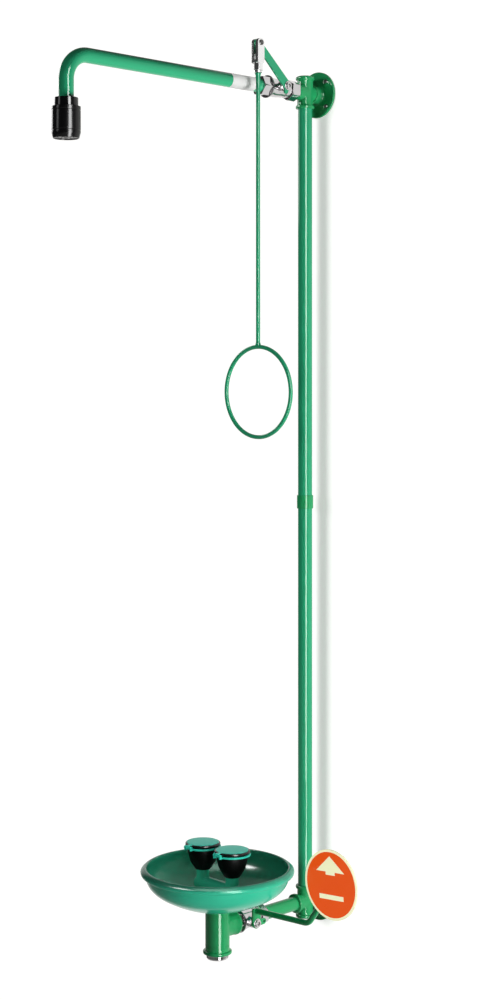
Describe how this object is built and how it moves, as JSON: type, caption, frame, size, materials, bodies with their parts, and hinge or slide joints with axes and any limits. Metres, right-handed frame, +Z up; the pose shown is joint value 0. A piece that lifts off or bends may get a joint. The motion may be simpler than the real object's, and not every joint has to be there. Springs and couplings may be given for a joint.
{
  "type": "emergency safety shower with eye wash",
  "caption": "Wall-mounted green pipe emergency shower: pull-ring ball valve and black overhead head, above an eyewash bowl with lidded rubber cups worked by a round push plate.",
  "frame": {"origin": "centre of the upper wall flange's back face, on the wall plane", "axes": "+Y into the wall, +Z up, +X to the right when facing the wall"},
  "size_m": [0.4365, 0.6634, 1.7216],
  "materials": {
    "green_coat": "glossy green powder coat on tube, pipe and lever",
    "green_casting": "glossy green powder coat on cast fittings",
    "green_plastic": "satin moulded green plastic",
    "chrome": "bright chrome plate on brass",
    "black_plastic": "satin black plastic",
    "black_rubber": "matt black rubber",
    "seat_plastic": "white valve seat plastic",
    "steel": "stainless steel",
    "orange_plate": "orange sign plate with a pale border"
  },
  "bodies": {
    "frame": {"bowl": "green_plastic", "bowl_gasket": "black_rubber", "bowl_strainer": "steel", "drain_body": "green_casting", "drain_outlet": "chrome", "eyewash_gland_nut": "chrome", "eyewash_pipe": "green_coat", "eyewash_seat_front": "seat_plastic", "eyewash_seat_rear": "seat_plastic", "eyewash_valve_body": "chrome", "eyewash_valve_end": "chrome", "head_collar": "black_plastic", "head_flow_disc": "black_plastic", "head_shell": "black_plastic", "head_spray_plate": "black_plastic", "left_cup": "black_rubber", "left_cup_ring": "green_plastic", "lower_cross": "green_casting", "lower_screw_1": "steel", "lower_screw_2": "steel", "lower_screw_3": "steel", "lower_screw_4": "steel", "lower_wall_flange": "green_casting", "nozzle_manifold": "green_plastic", "right_cup": "black_rubber", "right_cup_ring": "green_plastic", "riser_coupling": "green_casting", "riser_lower_tube": "green_coat", "riser_upper_tube": "green_coat", "shower_arm": "green_coat", "shower_gland_nut": "chrome", "shower_seat_front": "seat_plastic", "shower_seat_rear": "seat_plastic", "shower_valve_body": "chrome", "shower_valve_end": "chrome", "supply_tube": "steel", "top_plug": "green_casting", "upper_cross": "green_casting", "upper_screw_1": "steel", "upper_screw_2": "steel", "upper_screw_3": "steel", "upper_screw_4": "steel", "upper_wall_flange": "green_casting"},
    "shower_lever": {"shower_ball": "steel", "shower_stem": "steel", "shower_lever": "green_coat", "shower_lever_nut": "chrome"},
    "pull_handle": {"clevis_fork": "chrome", "clevis_pin": "steel", "fork_lock_nut": "chrome", "pull_rod": "green_coat"},
    "push_lever": {"eyewash_ball": "steel", "eyewash_stem": "steel", "push_lever": "green_coat", "push_lever_nut": "chrome", "push_plate": "orange_plate"},
    "left_lid": {"left_lid": "green_plastic", "left_lid_gasket": "black_rubber"},
    "right_lid": {"right_lid": "green_plastic", "right_lid_gasket": "black_rubber"}
  },
  "joints": [
    {"name": "shower_valve_turn", "type": "hinge", "parent": "frame", "child": "shower_lever", "pos_m": [0, -0.123, 0], "axis": [1, 0, 0], "range_deg": [0, 90]},
    {"name": "pull_rod_pivot", "type": "hinge", "parent": "shower_lever", "child": "pull_handle", "pos_m": [0.0328, -0.20237, 0.07146], "axis": [1, 0, 0], "range_deg": [-90, 0]},
    {"name": "eyewash_valve_turn", "type": "hinge", "parent": "frame", "child": "push_lever", "pos_m": [0, -0.207, -1.585], "axis": [-1, 0, 0], "range_deg": [0, 90]},
    {"name": "left_lid_hinge", "type": "hinge", "parent": "frame", "child": "left_lid", "pos_m": [-0.03935, -0.315, -1.4365], "axis": [1, 0, 0], "range_deg": [0, 105]},
    {"name": "right_lid_hinge", "type": "hinge", "parent": "frame", "child": "right_lid", "pos_m": [0.03935, -0.315, -1.4365], "axis": [1, 0, 0], "range_deg": [0, 105]}
  ],
  "couplings": [
    {"joint": "pull_rod_pivot", "follows": "shower_valve_turn", "ratio": -1}
  ]
}
